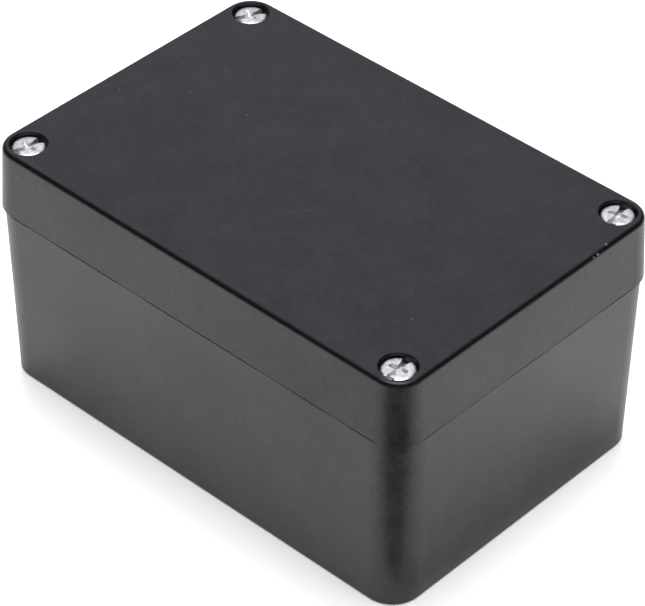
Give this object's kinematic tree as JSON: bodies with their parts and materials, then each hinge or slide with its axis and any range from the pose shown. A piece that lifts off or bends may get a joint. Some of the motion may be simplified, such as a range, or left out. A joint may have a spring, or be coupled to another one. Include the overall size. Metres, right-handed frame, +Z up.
{
  "type": "plastic project box",
  "caption": "Black moulded electronics box: a deep base and a shallow lid that clamps down on a seal, held by recessed pan-head screws at its corners.",
  "frame": {"origin": "middle of the underside", "axes": "+X along the long side, +Y along the short side, +Z up through the lid"},
  "size_m": [0.1, 0.068, 0.051],
  "materials": {
    "box_plastic": "fine satin, as moulded",
    "lid_plastic": "fine satin, as moulded",
    "gasket_rubber": "matt closed-cell cord",
    "screw_steel": "bright zinc plate"
  },
  "bodies": {
    "base_shell": {"base": "box_plastic"},
    "lid_shell": {"lid": "lid_plastic", "gasket": "gasket_rubber"},
    "front_right_screw": {"screw_front_right": "screw_steel"},
    "front_left_screw": {"screw_front_left": "screw_steel"},
    "back_right_screw": {"screw_back_right": "screw_steel"},
    "back_left_screw": {"screw_back_left": "screw_steel"}
  },
  "joints": [
    {"name": "lid_lift", "type": "slide", "parent": "base_shell", "child": "lid_shell", "axis": [0, 0, 1], "range_m": [0, 0.04]},
    {"name": "front_right_screw_out", "type": "slide", "parent": "lid_shell", "child": "front_right_screw", "axis": [0, 0, 1], "range_m": [0, 0.022]},
    {"name": "front_left_screw_out", "type": "slide", "parent": "lid_shell", "child": "front_left_screw", "axis": [0, 0, 1], "range_m": [0, 0.022]},
    {"name": "back_right_screw_out", "type": "slide", "parent": "lid_shell", "child": "back_right_screw", "axis": [0, 0, 1], "range_m": [0, 0.022]},
    {"name": "back_left_screw_out", "type": "slide", "parent": "lid_shell", "child": "back_left_screw", "axis": [0, 0, 1], "range_m": [0, 0.022]}
  ]
}
